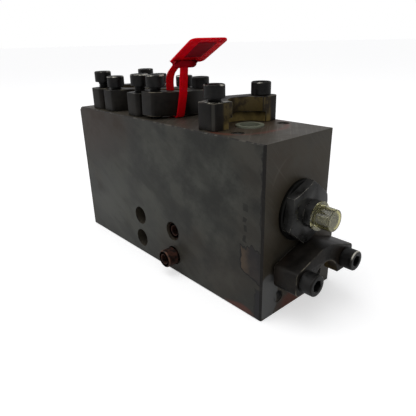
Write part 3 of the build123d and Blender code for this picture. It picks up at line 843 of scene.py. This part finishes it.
def makeAdapter():
    look = adapter
    low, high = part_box("pilot_adapter")
    end = Vector((high.x, (low.y + high.y) / 2, (low.z + high.z) / 2))
    stand = Matrix.Translation(end) @ Vector((1, 0, 0)).to_track_quat("Z", "X").to_matrix().to_4x4()
    foot = copyOf(frame["nodes"]["pilot_adapter"], "adapterFoot")
    clean(foot)
    foot.data.transform(stand.inverted())
    trim(foot, -look["length"], True)
    addModifier(foot, "BEVEL", width=look["edge"] * mm, segments=2, limit_method="ANGLE", angle_limit=radians(28))
    rod = thread("adapterThread", threadOutline(look["major"], look["minor"], look["pitch"]), look["pitch"],
                 -look["length"] - 0.5, -look["chamfer"], 40)
    nose = lathe("adapterNose", [(0, -look["chamfer"]), (look["minor"], -look["chamfer"]),
                                 (look["minor"] - 0.6, 0), (0, 0)], 40)
    bored = lathe("adapterBore", [(0, -look["boreDepth"]), (look["bore"], -look["boreDepth"]),
                                  (look["bore"], -look["mouthDepth"] - 1.5), (look["mouth"], 0.5), (0, 0.5)], 40)
    for part in (foot, rod, nose):
        addModifier(part, "BOOLEAN", operation="DIFFERENCE", object=bored, solver="EXACT")
    bpy.data.objects.remove(bored)
    piece = join("pilot_adapter_threaded", [foot, rod, nose])
    piece.data.transform(stand)
    piece.data.materials.clear()
    piece.data.materials.append(materials["plug_black"])
    smooth(piece, 28)
    standFor(piece, "pilot_adapter")


makeAdapter()
print("adapter made")


# tag: a strap looped round the leaning half flange, its lock and a bowed flag; places in millimetres
tag = {
    "turn": -15.0,
    "origin": (0.0, -15.4, 134.75),
    "strapWidth": 7.0,
    "strapThickness": 1.0,
    "loop": [(-9.7, 0.0, 3.0), (9.8, 0.0, 3.0), (18.2, 19.0, 36.0), (22.6, 41.9, 2.0), (9.5, 43.4, 8.0),
             (-9.9, 33.4, 12.0)],
    "lock": (20.0, 40.6, -1.6),
    "lockSize": (18.8, 6.4, 5.6),
    "flag": (17.0, 45.7, -3.9),
    "flagTilt": 21.0,
    "flagSize": (30.0, 47.9, 1.2),
    "flagCorner": 4.5,
    "flagSlant": (1.5, -2.5),  # how far its back corner is pulled in
    "flagBow": 20.0,  # degrees
    "tip": [(0, 0), (1.0, 0), (0.5, 3.4), (0, 3.6)],
    "tipPlace": (-13.6, 1.6, 0.6),
    "panelSize": (14.6, 30.0),
    "panelPlace": (2.2, 24.5),
    "panelProud": 0.12,
}


def loopFrame():  # local x along the loop, y up, z across the strap
    turn = radians(tag["turn"])
    axes = Matrix(((cos(turn), 0, sin(turn), 0), (sin(turn), 0, -cos(turn), 0), (0, 1, 0, 0), (0, 0, 0, 1)))
    return Matrix.Translation(Vector(tag["origin"]) * mm) @ axes


def roundedLoop(corners, steps=6):  # corners: x, y and radius; gives the loop's points with its corners rounded
    points = []
    for index, (x, y, radius) in enumerate(corners):
        here = Vector((x, y))
        back = (Vector(corners[index - 1][:2]) - here).normalized()
        on = (Vector(corners[(index + 1) % len(corners)][:2]) - here).normalized()
        half = back.angle(on) / 2
        centre = here + (back + on).normalized() * radius / sin(half)
        start = here + back * radius / tan(half) - centre
        end = here + on * radius / tan(half) - centre
        sweep = start.angle_signed(end)
        for step in range(steps + 1):
            angle = -sweep * step / steps
            turned = Vector((start.x * cos(angle) - start.y * sin(angle), start.x * sin(angle) + start.y * cos(angle)))
            points.append(centre + turned)
    return points


def makeStrap():
    points = roundedLoop(tag["loop"])
    points.append(points[0])
    half = tag["strapWidth"] / 2
    piece = drawLine("tagStrap", [(p.x * mm, p.y * mm, -half * mm) for p in points])
    clean(piece)
    bpy.ops.object.mode_set(mode="EDIT")
    bpy.ops.mesh.select_mode(type="EDGE")
    bpy.ops.mesh.select_all(action="SELECT")
    for share in (0.25, 0.5, 0.25):
        bpy.ops.mesh.extrude_region_move(TRANSFORM_OT_translate={"value": (0, 0, share * tag["strapWidth"] * mm)})
    bpy.ops.mesh.select_all(action="SELECT")
    bpy.ops.mesh.normals_make_consistent(inside=False)
    bpy.ops.object.mode_set(mode="OBJECT")
    addModifier(piece, "SOLIDIFY", thickness=tag["strapThickness"] * mm, offset=0)
    addModifier(piece, "BEVEL", width=0.25 * mm, segments=2, limit_method="ANGLE", angle_limit=radians(60))
    return piece


def makeLock():
    length, width, height = tag["lockSize"]
    bpy.ops.object.select_all(action="DESELECT")
    bpy.ops.mesh.primitive_cube_add(size=1, location=(0, 0, height / 2 * mm), scale=(length * mm, width * mm, height * mm))
    piece = bpy.context.object
    bpy.ops.object.transform_apply(location=True, rotation=True, scale=True)
    bpy.ops.object.mode_set(mode="EDIT")
    bpy.ops.mesh.select_all(action="DESELECT")
    bpy.ops.object.mode_set(mode="OBJECT")
    for edge in piece.data.edges:
        ends = [piece.data.vertices[v].co for v in edge.vertices]
        edge.select = abs(ends[0].z - ends[1].z) > height / 2 * mm
    bpy.ops.object.mode_set(mode="EDIT")
    bpy.ops.mesh.select_mode(type="EDGE")
    bpy.ops.mesh.bevel(offset=0.48 * width * mm, segments=6)
    bpy.ops.object.mode_set(mode="OBJECT")
    for edge in piece.data.edges:
        ends = [piece.data.vertices[v].co for v in edge.vertices]
        edge.select = max(end.z for end in ends) < 0.1 * mm
    bpy.ops.object.mode_set(mode="EDIT")
    bpy.ops.mesh.bevel(offset=2.6 * mm, segments=5)
    bpy.ops.object.mode_set(mode="OBJECT")
    addModifier(piece, "BEVEL", width=0.3 * mm, segments=2, limit_method="ANGLE", angle_limit=radians(40))
    return piece


def roundedPlate(width, height, corner, middle, slant=(0, 0)):  # a plate in x and y, cut so that it can be bowed
    bpy.ops.object.select_all(action="DESELECT")
    bpy.ops.mesh.primitive_plane_add(size=1, location=[m * mm for m in middle] + [0])
    piece = bpy.context.object
    piece.scale = (width * mm, height * mm, 1)
    bpy.ops.object.transform_apply(location=True, rotation=True, scale=True)
    for vertex in piece.data.vertices:
        vertex.select = vertex.co.x < middle[0] * mm and vertex.co.y > middle[1] * mm
    foot = middle[1] - height / 2
    bpy.ops.object.mode_set(mode="EDIT")
    bpy.ops.transform.translate(value=[m * mm for m in slant] + [0])
    bpy.ops.mesh.select_all(action="SELECT")
    bpy.ops.mesh.bevel(offset=corner * mm, segments=6, affect="VERTICES")
    cuts = 12
    for index in range(1, cuts):
        for along, span, start in (((1, 0, 0), width, middle[0] - width / 2), ((0, 1, 0), height, foot)):
            bpy.ops.mesh.select_all(action="SELECT")
            place = (start + span * index / cuts) * mm
            bpy.ops.mesh.bisect(plane_co=[place * a for a in along], plane_no=along)
    bpy.ops.object.mode_set(mode="OBJECT")
    return piece


def bowed(piece, thickness, edge):  # the plate stands up while it is bent about y
    addModifier(piece, "SOLIDIFY", thickness=thickness * mm, offset=0)
    addModifier(piece, "BEVEL", width=edge * mm, segments=2, limit_method="ANGLE", angle_limit=radians(50))
    piece.data.transform(Matrix.Rotation(pi / 2, 4, "Y"))
    addModifier(piece, "SIMPLE_DEFORM", deform_method="BEND", deform_axis="Y",
                angle=radians(tag["flagBow"]) * piece.dimensions.z / (tag["flagSize"][0] * mm))
    piece.data.transform(Matrix.Rotation(-pi / 2, 4, "Y"))


def makeTag():
    stand = loopFrame()
    strap = makeStrap()
    strap.data.transform(stand)
    turn, tilt = radians(tag["turn"]), radians(tag["flagTilt"])
    along = Vector((-sin(turn), cos(turn), 0))
    lock = makeLock()
    place = stand @ (Vector(tag["lock"]) * mm)
    level = Matrix((along, Vector((0, 0, 1)).cross(along), Vector((0, 0, 1)))).transposed().to_4x4()
    lock.data.transform(Matrix.Translation(place) @ level)
    up = Vector((cos(turn) * cos(tilt), sin(turn) * cos(tilt), sin(tilt)))
    leaning = Matrix((along, up, along.cross(up))).transposed().to_4x4()
    place = Matrix.Translation(stand @ (Vector(tag["flag"]) * mm)) @ leaning
    width, height, thickness = tag["flagSize"]
    flag = roundedPlate(width, height, tag["flagCorner"], (0, height / 2), tag["flagSlant"])
    bowed(flag, thickness, 0.3)
    flag.data.transform(place)
    panelWidth, panelHeight = tag["panelSize"]
    panel = roundedPlate(panelWidth, panelHeight, 0.8, tag["panelPlace"])
    bowed(panel, thickness + 2 * tag["panelProud"], 0.05)
    panel.data.transform(place)
    tip = lathe("tagTip", tag["tip"], 16)
    tipStand = Matrix.Translation(Vector(tag["tipPlace"]) * mm) @ Matrix.Rotation(-pi / 2, 4, "Y")
    tip.data.transform(place @ tipStand)
    # the lock takes the darker red that paints its shade
    for part, slotName in ((strap, "tag_plastic"), (lock, "tag_shade"), (tip, "tag_plastic"), (flag, "tag_plastic"),
                           (panel, "tag_panel")):
        part.data.materials.clear()
        part.data.materials.append(materials[slotName])
    piece = join("identity_tag_moulded", [strap, lock, tip, flag, panel])
    smooth(piece, 30)
    standFor(piece, "identity_tag")


makeTag()
print("tag made")


# studio: pale floor, soft lamps, white surroundings for the camera and for reflections
studio = {
    "floorSize": 60.0,
    "floorGlow": 0.5,
    "floorTone": (0.72, 0.72, 0.72, 1.0),
    "ambient": (0.4, 0.4, 0.41, 1.0),
    "mirrored": 0.15,
    "sun": {"strength": 0.9, "angle": 70, "tip": (28, -14, 0)},
    "lamps": [  # place, watts, size
        ("overhead", (-0.2, -0.1, 1.5), 5.0, 1.4),
        ("leftFront", (-1.0, -1.1, 0.7), 2.0, 1.0),
        ("rightFront", (1.3, -0.5, 0.9), 2.5, 0.9),
    ],
    "aim": (0.0, 0.0, 0.07),
}


def seenDirectly(paint):  # 1 for rays that show the background, less for reflected ones
    straight, reflected, through = [
        paint.node("ShaderNodeLightPath", output=name)
        for name in ("Is Camera Ray", "Is Glossy Ray", "Is Transmission Ray")]
    return straight.orMore(through).orMore(reflected * studio["mirrored"])


def makeStudio():
    bpy.ops.object.select_all(action="DESELECT")
    bpy.ops.mesh.primitive_plane_add(size=studio["floorSize"], location=(0, 0, 0))
    floor = bpy.context.object
    floor.name = "studioFloor"
    material, paint = newPaint("floorPaint")
    plain = paint.node("ShaderNodeBsdfDiffuse", None, {"Color": studio["floorTone"]})
    glow = paint.node("ShaderNodeEmission", None, {"Strength": studio["floorGlow"] * seenDirectly(paint)})
    paint.end("ShaderNodeOutputMaterial", paint.node("ShaderNodeAddShader", None, {0: plain, 1: glow}))
    floor.data.materials.append(material)
    world = bpy.data.worlds.new("studioWorld")
    world.use_nodes = True
    bpy.context.scene.world = world
    air = Paint(world.node_tree)
    tone = air.blend(seenDirectly(air), studio["ambient"], (1, 1, 1, 1))
    air.end("ShaderNodeOutputWorld", air.node("ShaderNodeBackground", None, {"Color": tone}))
    sun = studio["sun"]
    bpy.ops.object.light_add(type="SUN", rotation=[radians(a) for a in sun["tip"]])
    bpy.context.object.name = "sun"
    bpy.context.object.data.energy = sun["strength"]
    bpy.context.object.data.angle = radians(sun["angle"])
    for name, place, watts, size in studio["lamps"]:
        bpy.ops.object.light_add(type="AREA", location=place)
        lamp = bpy.context.object
        lamp.name = name
        lamp.data.energy = watts
        lamp.data.size = size
        lamp.rotation_euler = (Vector(studio["aim"]) - Vector(place)).to_track_quat("-Z", "Y").to_euler()


# camera: fitted to the block's edges in the photograph
view = {
    "place": (0.2937, -0.2389, 0.1953),
    "heading": 48.63,  # degrees to the left of +Y
    "down": 22.05,
    "roll": -1.352,
    "lens": 35.785,
    "sensor": 36.0,
}


def makeCamera():
    bpy.ops.object.camera_add(location=view["place"])
    camera = bpy.context.object
    turnZ = Matrix.Rotation(radians(view["heading"]), 4, "Z")
    tip = Matrix.Rotation(pi / 2 - radians(view["down"]), 4, "X")
    roll = Matrix.Rotation(radians(view["roll"]), 4, "Z")
    camera.rotation_euler = (turnZ @ tip @ roll).to_euler()
    camera.data.lens = view["lens"]
    camera.data.sensor_width = view["sensor"]
    camera.data.clip_start = 0.01
    bpy.context.scene.camera = camera


makeStudio()
makeCamera()
bpy.context.scene.view_settings.view_transform = "Standard"
print("studio and camera made")
